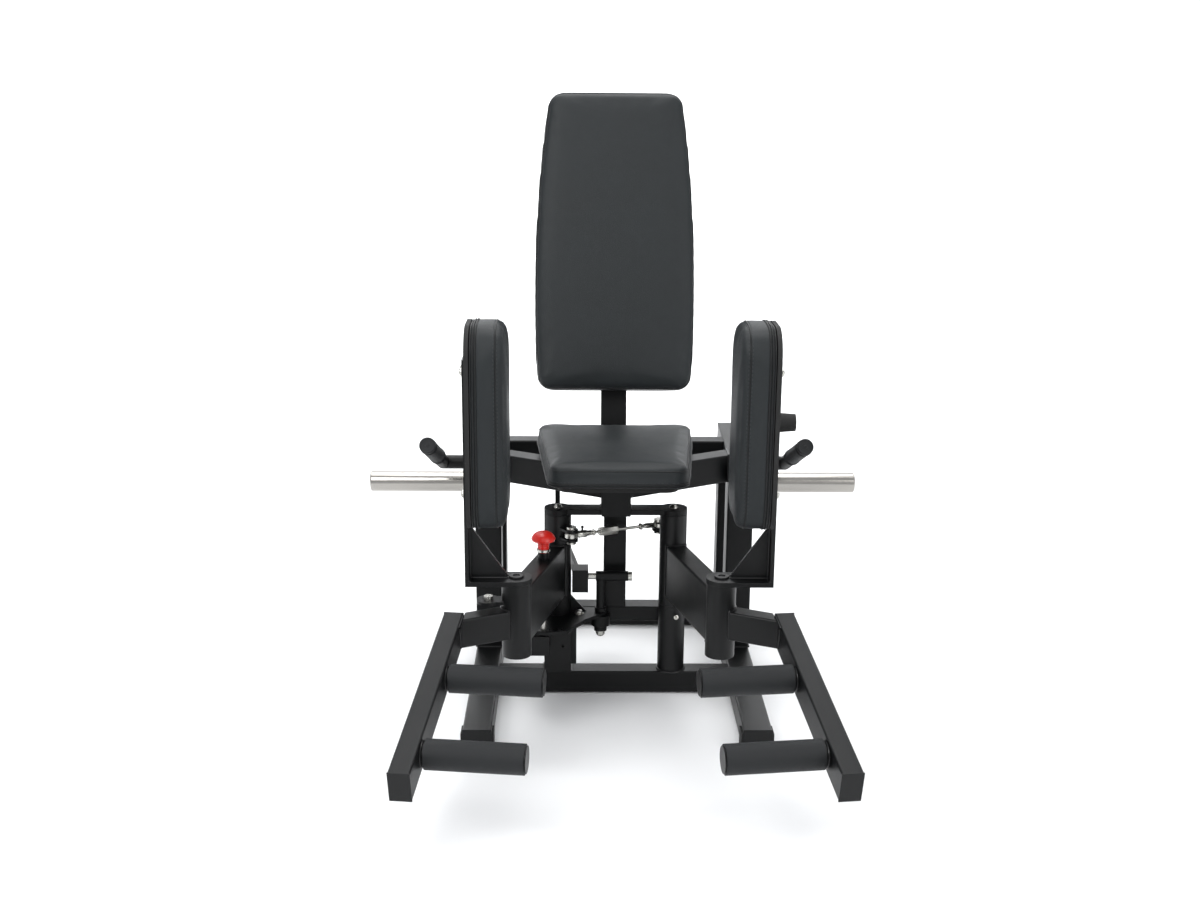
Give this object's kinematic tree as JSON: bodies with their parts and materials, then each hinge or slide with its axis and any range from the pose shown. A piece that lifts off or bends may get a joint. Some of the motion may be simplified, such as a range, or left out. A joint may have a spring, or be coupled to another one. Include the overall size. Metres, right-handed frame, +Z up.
{
  "type": "hip abductor and adductor machine",
  "caption": "Plate-loaded hip abductor and adductor machine: seat and reclined back on a tube frame, swinging arms with thigh pads and foot pegs, side weight horns",
  "frame": {"origin": "on the floor, on the centre plane, midway between the two pivot columns; the front cross tube passes 5 mm above it", "axes": "+X to the right as seen from the front, +Y to the rear where the backrest is, +Z up; the seat faces -Y"},
  "size_m": [1.156, 1.3436, 1.3246],
  "materials": {
    "frame_black": "satin",
    "arm_black": "satin",
    "upholstery": "matte",
    "board": "matte",
    "grip_rubber": "matte",
    "foot_rubber": "matte",
    "bright_steel": "brushed",
    "horn_chrome": "polished",
    "knob_red": "gloss",
    "bronze": "satin",
    "zinc": "satin"
  },
  "bodies": {
    "frame": {"back_board": "board", "back_pad": "upholstery", "back_post": "frame_black", "bridge_bolts": "zinc", "bridge_plates": "frame_black", "column_base_left": "frame_black", "column_base_right": "frame_black", "floor_cross_tubes": "frame_black", "floor_runner_left": "frame_black", "floor_runner_right": "frame_black", "front_uprights": "frame_black", "grip_bars": "frame_black", "hand_grips": "grip_rubber", "lower_cross_member": "frame_black", "pivot_shafts": "bright_steel", "post_sleeve": "frame_black", "rear_bar": "frame_black", "rear_uprights": "frame_black", "rubber_buffers": "foot_rubber", "rubber_feet": "foot_rubber", "seat_bars": "frame_black", "seat_board": "board", "seat_pad": "upholstery", "seat_post": "frame_black", "top_rail_left": "frame_black", "top_rail_right": "frame_black", "yoke_bearings": "frame_black"},
    "left_swing": {"pivot_sleeve_left": "arm_black", "column_bushes_left": "bronze", "swing_beam_left": "arm_black", "pad_hub_left": "arm_black", "foot_arm_left": "arm_black", "foot_pegs_left": "grip_rubber", "arm_bolts_left": "zinc"},
    "right_swing": {"pivot_sleeve_right": "arm_black", "column_bushes_right": "bronze", "swing_beam_right": "arm_black", "pad_hub_right": "arm_black", "foot_arm_right": "arm_black", "foot_pegs_right": "grip_rubber", "arm_bolts_right": "zinc"},
    "left_pad": {"pad_bracket_left": "arm_black", "hub_pin_left": "bright_steel", "pad_board_left": "board", "thigh_pad_left": "upholstery"},
    "right_pad": {"pad_bracket_right": "arm_black", "hub_pin_right": "bright_steel", "pad_board_right": "board", "thigh_pad_right": "upholstery"},
    "selector": {"selector_pin": "bright_steel", "selector_knob": "knob_red"},
    "sector": {"index_sector": "frame_black"},
    "swivel": {"load_swivel": "frame_black", "swivel_bolt": "zinc"},
    "link": {"load_link": "frame_black"},
    "yoke": {"yoke_shaft": "bright_steel", "yoke_lever": "frame_black", "horn_arms": "frame_black", "weight_horns": "horn_chrome"},
    "tie_rod": {"tie_rod": "zinc"}
  },
  "joints": [
    {"name": "left_swing", "type": "hinge", "parent": "frame", "child": "left_swing", "pos_m": [-0.128, 0, 0.212], "axis": [0, 0, -1], "range_deg": [0, 34]},
    {"name": "right_swing", "type": "hinge", "parent": "frame", "child": "right_swing", "pos_m": [0.128, 0, 0.212], "axis": [0, 0, 1], "range_deg": [0, 34.5]},
    {"name": "left_pad_turn", "type": "hinge", "parent": "left_swing", "child": "left_pad", "pos_m": [-0.207, -0.3, 0.37], "axis": [0, 0, 1], "range_deg": [0, 180]},
    {"name": "right_pad_turn", "type": "hinge", "parent": "right_swing", "child": "right_pad", "pos_m": [0.207, -0.3, 0.37], "axis": [0, 0, -1], "range_deg": [0, 180]},
    {"name": "selector_lift", "type": "slide", "parent": "left_swing", "child": "selector", "axis": [0, 0, 1], "range_m": [0, 0.014], "stiffness_N_per_m": 1500, "springref_m": -0.005},
    {"name": "sector_turn", "type": "hinge", "parent": "frame", "child": "sector", "pos_m": [-0.128, 0, 0.176], "axis": [0, 0, -1], "range_deg": [0, 34.5]},
    {"name": "swivel_turn", "type": "hinge", "parent": "sector", "child": "swivel", "pos_m": [-0.032, 0, 0.184], "axis": [0, 0, 1], "range_deg": [0, 34.5]},
    {"name": "yoke_lift", "type": "hinge", "parent": "frame", "child": "yoke", "pos_m": [0, 0.46, 0.445], "axis": [-1, 0, 0], "range_deg": [0, 18.5]},
    {"name": "link_level", "type": "hinge", "parent": "yoke", "child": "link", "pos_m": [-0.15, 0.48691, 0.27512], "axis": [1, 0, 0], "range_deg": [0, 18.5]},
    {"name": "tie_rod_turn", "type": "hinge", "parent": "left_swing", "child": "tie_rod", "pos_m": [-0.098, -0.04, 0.384], "axis": [0, 0, 1], "range_deg": [0, 31]}
  ],
  "couplings": [
    {"joint": "right_swing", "follows": "left_swing", "ratio": 1},
    {"joint": "sector_turn", "follows": "left_swing", "ratio": 1},
    {"joint": "swivel_turn", "follows": "left_swing", "ratio": 1},
    {"joint": "yoke_lift", "follows": "left_swing", "ratio": 0.52941},
    {"joint": "link_level", "follows": "left_swing", "ratio": 0.52941},
    {"joint": "tie_rod_turn", "follows": "left_swing", "ratio": 0.893}
  ]
}
